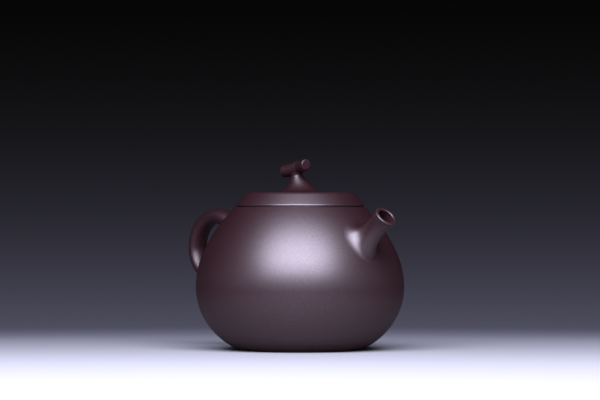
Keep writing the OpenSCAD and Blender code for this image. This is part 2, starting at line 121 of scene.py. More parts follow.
def skin(name, rows, finishes, row_finish=0, ends=None, crease=40):
    """Mesh object over rows of points. Neighbouring rows are joined by quads; without
    `ends` the last row is joined to the first, and with them each end row is closed by a
    fan on its own point. The sign of the enclosed volume says which way round the faces
    go, so that all point outwards. `row_finish` is the material number of each row."""
    rows = np.asarray(rows, float)
    n, m = rows.shape[:2]
    i, j = np.arange(n if ends is None else n - 1)[:, None], np.arange(m)[None, :]
    far, side = (i + 1) % n, (j + 1) % m
    quads = np.stack([i * m + j, far * m + j, far * m + side, i * m + side], -1).reshape(-1, 4)
    points, faces = rows.reshape(-1, 3), quads.tolist()
    by_row = np.broadcast_to(row_finish, n).astype(np.int32)
    numbers = np.repeat(by_row[: len(i)], m)
    triangles = np.concatenate([quads[:, [0, 1, 2]], quads[:, [0, 2, 3]]])
    if ends is not None:
        points = np.concatenate([points, ends])
        j, side = j[0], side[0]
        fans = np.concatenate([
            np.stack([np.full(m, n * m), j, side], -1),
            np.stack([np.full(m, n * m + 1), (n - 1) * m + side, (n - 1) * m + j], -1),
        ])
        faces += fans.tolist()
        triangles = np.concatenate([triangles, fans])
        numbers = np.concatenate([numbers, np.repeat(by_row[[0, -1]], m)])
    a, b, c = (points[triangles[:, k]] for k in range(3))
    if (np.cross(b, c) * a).sum() < 0:
        faces = [face[::-1] for face in faces]
    mesh = bpy.data.meshes.new(name)
    mesh.from_pydata(points.tolist(), [], faces)
    for finish in finishes:
        mesh.materials.append(finish)
    mesh.polygons.foreach_set("material_index", numbers)
    smooth(mesh, crease)
    piece = bpy.data.objects.new(name, mesh)
    bpy.context.scene.collection.objects.link(piece)
    return piece


def settle(piece, crease=40):
    """Applies the piece's modifiers to its mesh."""
    shape = piece.evaluated_get(bpy.context.evaluated_depsgraph_get())
    mesh = bpy.data.meshes.new_from_object(shape)
    piece.modifiers.clear()
    piece.data = mesh
    smooth(mesh, crease)


def cut(piece, cutter):
    """Takes the cutter's solid out of the piece; the cutter is used up."""
    step = piece.modifiers.new("cut", "BOOLEAN")
    step.object, step.solver = cutter, "EXACT"
    settle(piece)
    bpy.data.objects.remove(cutter)


def fitted(piece, body, slot, *nodes):
    """The piece rides on the body and stands for the nodes, which are hidden. `slot` is not
    used.
    """
    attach(piece, body)
    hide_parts(*nodes)


def connect(tree, value, socket):
    """Links an output to the socket, or sets the socket to a plain value."""
    if isinstance(value, bpy.types.NodeSocket):
        tree.links.new(value, socket)
    else:
        socket.default_value = value


def add(tree, kind, settings=None, **inputs):
    """Shader node of a kind with its settings, and its inputs set or linked by name."""
    node = tree.nodes.new("ShaderNode" + kind)
    for key, value in (settings or {}).items():
        setattr(node, key, value)
    for key, value in inputs.items():
        connect(tree, value, node.inputs[key.replace("_", " ")])
    return node


def reckon(tree, operation, *values):
    """Output of a Math node."""
    node = add(tree, "Math", {"operation": operation})
    for value, socket in zip(values, node.inputs):
        connect(tree, value, socket)
    return node.outputs[0]


def step_up(tree, value, low, high):
    """Output that rises smoothly from 0 to 1 as the value goes from low to high."""
    smoothly = {"interpolation_type": "SMOOTHSTEP"}
    return add(tree, "MapRange", smoothly, Value=value, From_Min=low, From_Max=high).outputs[0]


def blend(tree, share, first, second):
    """Output of a colour mix, from the first colour at 0 to the second at 1. The Mix node
    takes its two colours at inputs 6 and 7, and gives one at output 2."""
    node = add(tree, "Mix", {"data_type": "RGBA"}, Factor=share)
    connect(tree, first, node.inputs[6])
    connect(tree, second, node.inputs[7])
    return node.outputs[2]


def specks(tree, place, scale, channel, luck, edge):
    """Output that is 1 in round spots inside a few random cells: those whose chance, one
    channel of the cell's random colour, is past `luck`, out to `edge` from the middle."""
    cells = add(tree, "TexVoronoi", Vector=place, Scale=scale).outputs
    chance = add(tree, "SeparateColor", Color=cells["Color"]).outputs[channel]
    chosen, inside = step_up(tree, chance, *luck), step_up(tree, cells["Distance"], *edge)
    return reckon(tree, "MULTIPLY", chosen, inside)


def fired_grain():
    """Group for fired sandy clay. A fine mottle moves between two tones, a few cells hold a
    pale grain of sand, rarer ones a pin hole, and a broad drift is what the kiln leaves. It
    gives a colour, a roughness, a height and how much polish stays, and each material sets
    its own values."""
    mottle_low, mottle_high = 0.35, 0.65
    sand_luck, sand_edge = (0.82, 0.97), (0.45, 0.15)
    pit_scale, pit_luck, pit_edge = 520.0, (0.972, 0.985), (0.24, 0.1)
    pit_sinks, pit_dulls = -2.0, 0.4
    drift_scale, drift_lights = 45.0, 4.0
    sockets = (
        ("INPUT", "Color", ("Clay", "Deep clay", "Sand")),
        ("INPUT", "Float", ("Mottle scale", "Sand scale", "Sand shown", "Drift")),
        ("INPUT", "Float", ("Roughness", "Unevenness", "Wear")),
        ("OUTPUT", "Color", ("Color",)),
        ("OUTPUT", "Float", ("Roughness", "Height", "Polish")),
    )
    tree = bpy.data.node_groups.new("fired grain", "ShaderNodeTree")
    for in_out, kind, names in sockets:
        for name in names:
            tree.interface.new_socket(name, in_out=in_out, socket_type="NodeSocket" + kind)
    given = tree.nodes.new("NodeGroupInput").outputs
    made = tree.nodes.new("NodeGroupOutput").inputs
    place = add(tree, "TexCoord").outputs["Object"]

    mottle = add(tree, "TexNoise", Vector=place, Scale=given["Mottle scale"], Detail=3.0)
    mottle = mottle.outputs[0]
    tone = step_up(tree, mottle, mottle_low, mottle_high)
    tone = blend(tree, tone, given["Deep clay"], given["Clay"])

    sand = specks(tree, place, given["Sand scale"], 0, sand_luck, sand_edge)
    sand = reckon(tree, "MULTIPLY", sand, given["Sand shown"])
    tone = blend(tree, sand, tone, given["Sand"])

    pit = specks(tree, place, pit_scale, 1, pit_luck, pit_edge)
    tone = blend(tree, pit, tone, given["Deep clay"])

    broad = add(tree, "TexNoise", Vector=place, Scale=drift_scale, Detail=4.0).outputs[0]
    swing = reckon(tree, "MULTIPLY", reckon(tree, "SUBTRACT", broad, 0.5), given["Drift"])
    bright = reckon(tree, "MULTIPLY_ADD", swing, drift_lights, 1.0)
    connect(tree, add(tree, "HueSaturation", Value=bright, Color=tone).outputs[0], made["Color"])

    uneven = reckon(tree, "MULTIPLY", reckon(tree, "SUBTRACT", mottle, 0.5), given["Unevenness"])
    rough = reckon(tree, "ADD", given["Roughness"], reckon(tree, "ADD", uneven, swing))
    connect(tree, rough, made["Roughness"])
    height = reckon(tree, "MULTIPLY_ADD", pit, pit_sinks, reckon(tree, "ADD", mottle, sand))
    connect(tree, height, made["Height"])
    worn = step_up(tree, mottle, mottle_high, mottle_low)
    polish = reckon(tree, "SUBTRACT", 1.0, reckon(tree, "MULTIPLY", worn, given["Wear"]))
    polish = reckon(tree, "SUBTRACT", polish, reckon(tree, "MULTIPLY", pit, pit_dulls))
    connect(tree, polish, made["Polish"])
    return tree


grain_group = fired_grain()
rubbed_rise, glance_power = (-0.063, 0.208), 0.7


def clay_finish(name, relief, gloss, under_gloss, **values):
    """Fired clay: the grain group with this finish's values, its height as bump, and the
    burnished skin as a coat. The skin is thin, `under_gloss`, where the clay faces down and
    the horn hardly reaches, and grows to `gloss` as the normal rises. It is weaker at a
    glancing view, where the tooth of the clay hides it: 1 less a power of the turn."""
    finish = bpy.data.materials.new(name)
    finish.use_nodes = True
    tree = finish.node_tree
    clay = tree.nodes["Principled BSDF"]
    grain = add(tree, "Group", {"node_tree": grain_group}, **values).outputs
    bump = add(tree, "Bump", Distance=relief, Height=grain["Height"])
    connect(tree, grain["Color"], clay.inputs["Base Color"])
    connect(tree, grain["Roughness"], clay.inputs["Roughness"])
    connect(tree, bump.outputs[0], clay.inputs["Normal"])
    rise = add(tree, "SeparateXYZ", Vector=add(tree, "TexCoord").outputs["Normal"]).outputs["Z"]
    rubbed = step_up(tree, rise, *rubbed_rise)
    skin_shown = reckon(tree, "MULTIPLY_ADD", rubbed, gloss - under_gloss, under_gloss)
    turned_away = add(tree, "LayerWeight", Blend=0.5).outputs["Facing"]
    glance = reckon(tree, "POWER", turned_away, glance_power)
    skin_shown = reckon(tree, "MULTIPLY", skin_shown, reckon(tree, "SUBTRACT", 1.0, glance))
    skin_shown = reckon(tree, "MULTIPLY", skin_shown, grain["Polish"])
    connect(tree, skin_shown, clay.inputs["Coat Weight"])
    clay.inputs["Coat IOR"].default_value = 2.85
    clay.inputs["Coat Roughness"].default_value = 0.45
    clay.inputs["Specular IOR Level"].default_value = 0.15
    return finish


burnished = clay_finish(
    "burnished clay", 0.01 * MM, 1.0, 0.3,
    Clay=(0.034, 0.0086, 0.0118, 1), Deep_clay=(0.025, 0.0060, 0.0086, 1),
    Sand=(0.075, 0.038, 0.044, 1), Mottle_scale=1600.0, Sand_scale=1100.0, Sand_shown=0.35,
    Drift=0.05, Roughness=0.62, Unevenness=0.14, Wear=0.14,
)
wiped = clay_finish(
    "wiped clay", 0.015 * MM, 0.54, 0.1,
    Clay=(0.033, 0.0086, 0.0118, 1), Deep_clay=(0.024, 0.0060, 0.0086, 1),
    Sand=(0.07, 0.035, 0.04, 1), Mottle_scale=1500.0, Sand_scale=1000.0, Sand_shown=0.4,
    Drift=0.06, Roughness=0.65, Unevenness=0.16, Wear=0.25,
)
raw = clay_finish(
    "raw clay", 0.04 * MM, 0.06, 0.03,
    Clay=(0.034, 0.0104, 0.0112, 1), Deep_clay=(0.023, 0.0068, 0.0076, 1),
    Sand=(0.07, 0.036, 0.036, 1), Mottle_scale=1200.0, Sand_scale=900.0, Sand_shown=0.6,
    Drift=0.08, Roughness=0.78, Unevenness=0.2, Wear=0.4,
)

outer_z = np.linspace(base_t, ring_z, 120)
inner_z = outer_z[::-1][::2]
wall_profile = np.concatenate([
    np.stack([wall_radius(outer_z), outer_z], -1),
    np.stack([wall_radius(inner_z, -wall_t), inner_z], -1),
])
wall_raw = np.arange(len(wall_profile)) >= len(outer_z) - 1
wall = skin("pot_wall", turned(wall_profile), [burnished, raw], wall_raw)

root_below = 16 * MM
spout_root_z = mouth_z - root_below
spout_root = np.array([wall_radius(spout_root_z), 0, spout_root_z])
root_out = wall_facing(spout_root)
root_rise = np.arcsin(root_out[2])
strainer_r = 7 * MM


def heading(rise, angle=0.0):
    """Unit direction that rises by `rise` and is turned from +X by `angle`."""
    return np.array([np.cos(rise) * np.cos(angle), np.cos(rise) * np.sin(angle), np.sin(rise)])


def oval(centre, rise, half_w, half_t, sides=96, angle=0.0):
    """Oval across heading(rise, angle): the centre, plus the level cross direction times
    the cosine, plus the upward cross direction times the sine of equal turns."""
    turn = np.linspace(0, 2 * np.pi, sides, endpoint=False)[:, None]
    across = np.array([-np.sin(angle), np.cos(angle), 0])
    up = heading(rise + np.pi / 2, angle)
    return centre + half_w * np.cos(turn) * across + half_t * np.sin(turn) * up


def rod(start, end, radius, sides=64):
    """Straight round bar from start to end, used as a cutter."""
    way = end - start
    rise, angle = np.arctan2(way[2], np.hypot(way[0], way[1])), np.arctan2(way[1], way[0])
    rows = [oval(centre, rise, radius, radius, sides, angle) for centre in (start, end)]
    return skin("cutter", rows, [raw], ends=[start, end])


cut(wall, rod(spout_root - 2 * wall_t * root_out, spout_root + wall_t * root_out, strainer_r))
fitted(wall, "pot", "clay", "body_wall")

# ---- Base ----
# A pressed disc closes the bottom. It rests on a flat ring with softly rounded edges, round
# a shallow hollow pressed in with the thumb, and its underside stays matt.
rest_w, base_press = 4.6 * MM, 1.6 * MM
rest_round, hollow_round = 0.5 * MM, 0.1 * MM
hollow_lead = 4 * hollow_round


def quarter(centre, radius, start, steps=6):
    """Quarter circle of a profile, from an angle in degrees to 90 degrees on: the centre
    plus the radius times the cosine and sine."""
    angle = np.radians(np.linspace(start, start + 90, steps + 1))
    return np.stack([centre[0] + radius * np.cos(angle), centre[1] + radius * np.sin(angle)], -1)


def dome(radius, z, rise, steps=24):
    """Profile of a shallow dome from its edge to near the axis. The ball's radius follows
    from the half width and the rise, and the lean from the axis shrinks in equal steps."""
    ball = (radius**2 + rise**2) / (2 * rise)
    lean = np.arcsin(radius / ball) * np.linspace(1, 0.5 / steps, steps)
    return np.stack([ball * np.sin(lean), z + rise - ball * (1 - np.cos(lean))], -1)


side_z = np.linspace(base_t, rest_round, 12)
inside = dome(wall_radius(base_t, -wall_t), base_t, base_press)
side = np.stack([wall_radius(side_z), side_z], -1)
outer_edge = quarter([side[-1, 0] - rest_round, rest_round], rest_round, -90)[::-1]
inner_edge = [[foot_r - rest_w + hollow_lead, 0]]
hollow = dome(foot_r - rest_w, hollow_round, base_press - hollow_round)
base_profile = np.concatenate([inside[::-1], side, outer_edge[1:], inner_edge, hollow])
base_row = np.arange(len(base_profile))
base_raw = (base_row < len(inside)) | (base_row > len(inside) + len(side))
base = skin(
    "base_disc_shaped", turned(base_profile), [burnished, raw], base_raw,
    ends=[[0, 0, base_t + base_press], [0, 0, base_press]],
)
fitted(base, "pot", "raw_clay", "base_disc")

# ---- Mouth ring ----
# A ring of clay luted inside the top of the wall stiffens the mouth. Its flat face was trued
# together with the lid, and its edges are only just broken.
mouth_bore_r = 26 * MM
mouth_edge = 0.2 * MM
ring_side = np.linspace(ring_z, mouth_z - mouth_edge, 12)
ring_profile = np.concatenate([
    np.stack([wall_radius(ring_side), ring_side], -1),
    quarter([mouth_r - mouth_edge, mouth_z - mouth_edge], mouth_edge, 0)[1:],
    quarter([mouth_bore_r + mouth_edge, mouth_z - mouth_edge], mouth_edge, 90),
    quarter([mouth_bore_r + mouth_edge, ring_z + mouth_edge], mouth_edge, 180),
])
mouth = skin("mouth_ring_shaped", turned(ring_profile), [burnished])
fitted(mouth, "pot", "clay", "mouth_ring")

# ---- Spout ----
# A short tapering tube, rolled up and luted on over the opening. Its flared root is drawn out
# on the wall until the joint vanishes, and its cut lip is rounded over with a wet thumb.
root_w, root_h, root_lift, root_drop = 22 * MM, 20.4 * MM, 2.1 * MM, 3.8 * MM
lip_r, neck_r, bore_r, lip_round = 5.7 * MM, 5 * MM, 3.9 * MM, 0.5 * MM
spout_run, spout_flare, under_flare = 5.2 * MM, 10.5 * MM, 7.4 * MM
throat_r, bore_stops = strainer_r + 0.8 * MM, 4
lip_rise, spout_bend = np.radians(44), np.radians(19)
tip_out, tip_up = 14.2 * MM, 11.3 * MM
tip = spout_root + np.array([tip_out, 0, tip_up])
below = tip - spout_run * heading(lip_rise - spout_bend)
film, sunk = 0.01 * MM, -0.5 * MM


def on_wall(points, way, out):
    """Points slid along `way` to the wall moved out by `out`: the stretch that holds the
    crossing is halved again and again, for all points at once."""
    span, halvings = 20 * MM, 36
    near, far = np.full(len(points), -span), np.full(len(points), span)
    for _ in range(halvings):
        mid = (near + far) / 2
        at = points + mid[:, None] * way
        within = np.hypot(at[:, 0], at[:, 1]) < wall_radius(at[:, 2], out)
        near, far = np.where(within, mid, near), np.where(within, far, mid)
    return points + near[:, None] * way


def along(feet, facing, aims, reach):
    """From each foot, a step of length `reach` on the surface there towards its aim: the
    way to the aim less its part along the normal, set to that length."""
    way = aims - feet
    flat = way - (way * facing).sum(-1, keepdims=True) * facing
    return feet + flat * reach / np.linalg.norm(flat, axis=-1, keepdims=True)


def curve(a, b, c, d, steps):
    """Rows of a cubic curve whose four controls are whole rows of points."""
    t = np.linspace(0, 1, steps + 1)[:, None, None]
    s = 1 - t
    return s**3 * a + 3 * s**2 * t * b + 3 * s * t**2 * c + t**3 * d


def lowness(ring):
    """How low each point of a ring at the root lies, from 0 at mid height and above to 1 at
    the lowest point: the share of the half height, to the power 1.5."""
    height = ring @ heading(root_rise + np.pi / 2)
    middle, half = (height.max() + height.min()) / 2, np.ptp(height) / 2
    return np.clip((middle - height) / half, 0, 1) ** 1.5


def root_oval(half_w, half_h, out, lift=0.0, drop=0.0):
    """Oval round the spout's root on the wall moved out by `out`. Its centre is raised by
    `lift` along the wall, and its lowest point is drawn down by `drop`."""
    up_wall = heading(root_rise + np.pi / 2)
    ring = oval(spout_root + lift * up_wall, root_rise, half_w, half_h)
    return on_wall(ring - drop * lowness(ring)[:, None] * up_wall, root_out, out)


feet = root_oval(root_w / 2, root_h / 2, film, root_lift, root_drop)
neck = oval(below, lip_rise, neck_r, neck_r)
low = lowness(oval(spout_root, root_rise, root_w / 2, root_h / 2))[:, None]
cling = along(feet, wall_facing(feet), neck, spout_flare + (under_flare - spout_flare) * low)
outside = curve(feet, cling, neck, oval(tip, lip_rise, lip_r, lip_r), 60)
lip_profile = np.concatenate([
    quarter([lip_r - lip_round, 0], lip_round, 0, 8)[1:],
    quarter([bore_r + lip_round, 0], lip_round, 90, 8)[:-1],
])
lip = [oval(tip + rise * heading(lip_rise), lip_rise, r, r) for r, rise in lip_profile]
# The bore is the outside drawn in towards the middle of each row. What is left is the bore's
# share of the lip's radius at the lip and the throat's share of the root's at the foot, and the
# change goes with the square of the way. The bore stops a few rows above the foot, and the
# underside goes from the throat out to the foot.
rooted = np.linspace(1, 0, len(outside))[:, None, None]
drawn_in = bore_r / lip_r + (2 * throat_r / root_w - bore_r / lip_r) * rooted**2
middles = outside.mean(1, keepdims=True)
bore = (middles + drawn_in * (outside - middles))[bore_stops:][::-1]
under = [
    root_oval(
        throat_r + share * (root_w / 2 - throat_r), throat_r + share * (root_h / 2 - throat_r),
        sunk, share * root_lift, share * root_drop,
    )
    for share in (0, 0.3, 0.6, 0.9)
]
spout_rows = np.concatenate([outside, lip, bore, under])
spout_raw = np.arange(len(spout_rows)) > len(outside) + len(lip)
spout = skin("spout_shaped", spout_rows, [burnished, raw], spout_raw, crease=60)
fitted(spout, "pot", "clay", "spout")

# ---- Strainer ----
# A thumb-pressed dome of the same clay, pierced with a brass tube and stuck into the opening
# before the spout went on. It bulges into the pot and holds the leaves back.
strainer_t, strainer_hole_r = 1.4 * MM, 0.9 * MM
strainer_fit, strainer_set = 0.06 * MM, 0.6 * MM
strainer_web, strainer_reach = 0.5 * MM, np.radians(62)
dome_r = strainer_r - strainer_fit
dome_centre = spout_root - (wall_t + strainer_set) * root_out


def at_root(rows):
    """Rows drawn about the Z axis, tipped until +Z points out of the wall and moved to the
    centre of the strainer's dome."""
    lean = np.pi / 2 - root_rise
    x, y, z = np.moveaxis(np.asarray(rows, float), -1, 0)
    tipped = [x * np.cos(lean) + z * np.sin(lean), y, z * np.cos(lean) - x * np.sin(lean)]
    return dome_centre + np.stack(tipped, -1)


bowl_end, rim_share = 87, 2 / 3
bowl = np.radians(np.linspace(0, bowl_end, 30))[:, None]
bowl_way = np.concatenate([np.cos(bowl), -np.sin(bowl)], 1)
rim_z = strainer_set + rim_share * wall_t
strainer_profile = np.concatenate([
    dome_r * bowl_way[::-1],
    [[dome_r, rim_z], [dome_r - strainer_t, rim_z]],
    (dome_r - strainer_t) * bowl_way,
])
strainer = skin(
    "strainer_pierced", at_root(turned(strainer_profile, 96)), [raw],
    ends=at_root([[0, 0, -dome_r], [0, 0, strainer_t - dome_r]]),
)
# The holes lie in rings round the dome's lowest point, as many in each as its length holds.
# Known fault: the mesh keeps open edges at some of the holes after the cuts.
strainer_in_r = dome_r - strainer_t
hole_pitch = 2 * strainer_hole_r + strainer_web
for lean in np.arange(0, strainer_reach, hole_pitch / strainer_in_r):
    count = max(1, int(2 * np.pi * strainer_in_r * np.sin(lean) / hole_pitch))
    for around in np.arange(count) * 2 * np.pi / count:
        hole_way = heading(lean - np.pi / 2, around)
        reach = np.outer([dome_r - 2 * strainer_t, dome_r + strainer_t], hole_way)
        cut(strainer, rod(*at_root(reach), strainer_hole_r, 32))
fitted(strainer, "pot", "raw_clay", "spout_strainer")

# ---- Handle ----
# A coil of clay with an oval section, thinner towards its lower end, bent to an ear and luted
# on at both ends. Each end swells where it meets the wall and is smoothed into it.
top_z, low_z = mouth_z - 13 * MM, belly_z + 1.2 * MM
top_end = np.array([-wall_radius(top_z), 0, top_z])
low_end = np.array([-wall_radius(low_z), 0, low_z])
top_arm, low_arm = 39 * MM, 43 * MM
top_rise, low_rise = np.radians(46), np.radians(3)
top_pull = top_end + top_arm * heading(top_rise, np.pi)
low_pull = low_end + low_arm * heading(low_rise, np.pi)
handle_w, top_t, low_t, root_swell = 10.4 * MM, 8 * MM, 6.4 * MM, 2.4 * MM
loop_start, loop_end = 0.08, 0.93
root_arm, root_cling = 0.45, 0.8


def loop_middle(t):
    """Point at t on the cubic curve of the loop's middle line."""
    s = 1 - t
    return s**3 * top_end + 3 * s**2 * t * top_pull + 3 * s * t**2 * low_pull + t**3 * low_end


def loop_way(t):
    """Unit direction of the middle line at t, from the curve's derivative."""
    s = 1 - t
    first, middle, last = top_pull - top_end, low_pull - top_pull, low_end - low_pull
    way = s**2 * first + 2 * s * t * middle + t**2 * last
    return way / np.linalg.norm(way)


def section(t, swell=0.0):
    """Oval section of the handle at t, made larger by `swell` all round."""
    way = loop_way(t)
    half_t = (top_t * (1 - t) + low_t * t) / 2
    return oval(loop_middle(t), np.arctan2(way[2], way[0]), handle_w / 2 + swell, half_t + swell)


def handle_root(t_wall, t_free, out_way):
    """Rows from the wall to the free loop: they leave along the wall's surface, and arrive
    on lines that run back from the free section along the loop."""
    foot = on_wall(section(t_wall, root_swell), out_way * loop_way(t_wall), film)
    free = section(t_free)
    arm = root_arm * np.linalg.norm(loop_middle(t_free) - loop_middle(t_wall))
    aims = free - out_way * arm * loop_way(t_free)
    cling = along(foot, wall_facing(foot), aims, root_cling * root_swell)
    return curve(foot, cling, aims, free, 24)


def end_middles(rows):
    """Middles of the first and the last row, for the fans that close a piece there."""
    return [rows[0].mean(0), rows[-1].mean(0)]


top_row = on_wall(section(0.0, -root_swell / 2), loop_way(0.0), sunk)
low_row = on_wall(section(1.0, -root_swell / 2), -loop_way(1.0), sunk)
handle_rows = np.concatenate([
    [top_row],
    handle_root(0.0, loop_start, 1),
    [section(t) for t in np.linspace(loop_start, loop_end, 130)[1:-1]],
    handle_root(1.0, loop_end, -1)[::-1],
    [low_row],
])
handle = skin("handle_shaped", handle_rows, [wiped], ends=end_middles(handle_rows), crease=60)
fitted(handle, "pot", "clay", "handle")

# ---- Lid ----
# The lid is turned in three pieces: a sloping cover hollowed below, a flat ring that rests on
# the mouth, and a collar that drops into it. The top is burnished, and pierced beside the
# knob so that air gets in as the tea runs out.
lid_r, lid_crown = 30.9 * MM, 0.4 * MM
lid_slope, lid_bow = 5.2 * MM, 0.06 * MM
under_round, rim_round, rim_turn = 0.5 * MM, 1.2 * MM, 40
step_in, step_h = 0.8 * MM, 0.4 * MM
step_edge = under_round - step_h
lid_top, seat_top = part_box("lid_cover")[1].z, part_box("lid_cover")[0].z
cover_t, crest_round = 3 * MM, 1.6 * MM
collar_r, collar_t, collar_lead = 25.6 * MM, 2.8 * MM, 0.6 * MM
collar_in_r, collar_low = collar_r - collar_t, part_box("lid_flange")[0].z
stem_root_r, eye_r = 10.3 * MM, 1 * MM
air_r, air_round = 1.1 * MM, 0.4 * MM
air_off = 2.6 * MM
air_y = stem_root_r + air_off + air_r


def bowed(p, q, bow, steps):
    """Arc from p to q that bows out by `bow` at its middle. Its radius follows from the
    half chord and the bow, and its centre lies on the line across the chord's middle."""
    p, q = np.asarray(p, float), np.asarray(q, float)
    half = np.linalg.norm(q - p) / 2
    radius = (half**2 + bow**2) / (2 * bow)
    across = np.array([q[1] - p[1], p[0] - q[0]]) / (2 * half)
    centre = (p + q) / 2 + across * (bow - radius)
    facing, half_turn = np.arctan2(across[1], across[0]), np.arcsin(half / radius)
    angle = facing + half_turn * np.linspace(-1, 1, steps + 1)
    return centre + radius * np.stack([np.cos(angle), np.sin(angle)], -1)


def eased(before, corner, after, back, steps=8):
    """Corner of a profile rounded by a quadratic curve that starts and ends `back` from the
    corner, on the lines to the points before and after it."""
    before, corner, after = (np.asarray(p, float) for p in (before, corner, after))
    start = corner + back * (before - corner) / np.linalg.norm(before - corner)
    end = corner + back * (after - corner) / np.linalg.norm(after - corner)
    t = np.linspace(0, 1, steps + 1)[:, None]
    return (1 - t) ** 2 * start + 2 * t * (1 - t) * corner + t**2 * end


rim_angles = np.radians(np.linspace(0, rim_turn, 8))
rim_middle = np.array([lid_r - rim_round, mouth_z + under_round])
rim_arc = rim_middle + rim_round * np.stack([np.cos(rim_angles), np.sin(rim_angles)], -1)
rim = rim_arc[-1]
crest = [lid_r - lid_slope, lid_top - lid_crown]
slope = bowed(rim, crest, lid_bow, 60)
seam = [np.interp(seat_top, slope[:, 1], slope[:, 0]), seat_top]
on_slope = slope[np.linalg.norm(slope - crest, axis=1) > crest_round]
crown = eased(on_slope[-1], crest, [stem_root_r, lid_top], crest_round)
flat_r = np.linspace(eye_r, crown[-1, 0], 30)[:-1]
flat = np.stack([flat_r, np.interp(flat_r, [stem_root_r, crest[0]], [lid_top, crest[1]])], -1)
shown = np.concatenate([flat, crown[::-1], on_slope[on_slope[:, 1] > seat_top][::-1]])
hidden = np.concatenate([[seam], dome(collar_in_r, seat_top, lid_top - cover_t - seat_top)])
cover = skin(
    "lid_cover_shaped", turned(np.concatenate([shown, hidden])), [burnished, raw],
    np.arange(len(shown) + len(hidden)) >= len(shown),
    ends=[[0, 0, lid_top], [0, 0, lid_top - cover_t]],
)
air_profile = np.concatenate([
    [[air_r, mouth_z]],
    quarter([air_r + air_round, lid_top - air_round], air_round, 90)[::-1],
    [[air_r + air_round, lid_top + air_round]],
])
air_profile[1:-1, 1] -= lid_crown * (air_y - stem_root_r) / (crest[0] - stem_root_r)
air_cutter = skin(
    "cutter", turned(air_profile, 48) + [0, air_y, 0], [burnished],
    ends=[[0, air_y, mouth_z], [0, air_y, lid_top + air_round]],
)
cut(cover, air_cutter)
fitted(cover, "lid", "clay", "lid_cover")

seat_profile = np.concatenate([
    [[lid_r - step_in, mouth_z], [lid_r - step_in, mouth_z + step_h]],
    [[lid_r - step_edge, mouth_z + step_h]],
    quarter([lid_r - step_edge, mouth_z + under_round], step_edge, -90)[1:],
    rim_arc[1:],
    slope[slope[:, 1] < seat_top][1:],
    [seam, [collar_in_r, seat_top], [collar_in_r, mouth_z]],
])
seat = skin("lid_seat_shaped", turned(seat_profile), [burnished])
fitted(seat, "lid", "clay", "lid_seat")

collar_profile = np.concatenate([
    [[collar_in_r, mouth_z], [collar_in_r, collar_low]],
    eased([collar_in_r, collar_low], [collar_r, collar_low], [collar_r, mouth_z], collar_lead),
    [[collar_r, mouth_z]],
])
collar = skin("lid_collar_shaped", turned(collar_profile), [raw])
fitted(collar, "lid", "raw_clay", "lid_flange")

# ---- Knob ----
# A twig bent over from the lid: its stem spreads like a root, and a cut bough and a short cut
# shoot leave the same knot. It is modelled by hand, luted on and smoothed into the lid.
knob_turn = np.radians(10)
stem_lean, stem_tilt = 2 * MM, np.radians(99)
stem_r, stem_neck, stem_flare, stem_sunk = 2.8 * MM, 0.6 * MM, 2 * MM, 0.5 * MM
stem_steep, steep_way, steep_power = 3.6 * MM, np.radians(-79), 1.5
knot_r, bough_r, twig_edge = 3.45 * MM, 2.85 * MM, 0.7 * MM
knot_back, knot_h, stem_short = 0.6 * stem_lean, 11.3 * MM, 1.05 * knot_r
bough_l, bough_drop = 8.3 * MM, 1.5 * MM
pull_l, pull_drop = 4.15 * MM, 1.36 * MM
knot = np.array([-knot_back, 0, lid_top + knot_h])
bough_tip = knot - np.array([bough_l, 0, bough_drop])
bough_pull = knot - np.array([pull_l, 0, pull_drop])
shoot_turn, shoot_rise = np.radians(-24), np.radians(11)
cut_swing, cut_fall = np.radians(4), np.radians(10)
shoot_l, shoot_root_r, shoot_r = 7.5 * MM, 3.1 * MM, 2.75 * MM
voxel = 0.12 * MM


def bough_row(t, past=0.0, less=0.0):
    """Round section of the bough at t on its quadratic middle line, moved on by `past` and
    made smaller by `less`; its radius goes evenly from the tip's to the knot's."""
    s = 1 - t
    middle = s**2 * bough_tip + 2 * s * t * bough_pull + t**2 * knot
    way = s * (bough_pull - bough_tip) + t * (knot - bough_pull)
    rise = np.arctan2(way[2], way[0])
    r = bough_r * s + knot_r * t - less
    return oval(middle + past * heading(rise), rise, r, r)


def shoot_row(reach, r, slant=1.0):
    """Round section of the shoot at a distance from the knot. `slant` swings it from square
    to the shoot, at 0, to the slanting plane of the cut, at 1."""
    rise, angle = shoot_rise - slant * cut_fall, shoot_turn + slant * cut_swing
    return oval(knot + reach * heading(shoot_rise, shoot_turn), rise, r, r, angle=angle)


def over(radius, turns):
    """How far past an end each row of its rounding lies, and how much less its radius is."""
    return [(radius * np.sin(turn), radius * (1 - np.cos(turn))) for turn in turns]


cut_edge, ball_edge = np.radians(np.linspace(0, 90, 7)), np.radians(np.arange(8, 88, 8))
bough_rows = [bough_row(0, -past, less) for past, less in over(twig_edge, cut_edge[::-1])]
bough_rows += [bough_row(t) for t in np.linspace(0, 1, 30)[1:]]
bough_rows += [bough_row(1, past, less) for past, less in over(knot_r, ball_edge)]
shoot_rows = [
    shoot_row(shoot_l * t, shoot_root_r + (shoot_r - shoot_root_r) * np.sin(t * np.pi / 2), t**3)
    for t in np.linspace(0, 1, 24)
]
shoot_rows += [
    shoot_row(shoot_l + past, shoot_r - less) for past, less in over(twig_edge, cut_edge[1:])
]

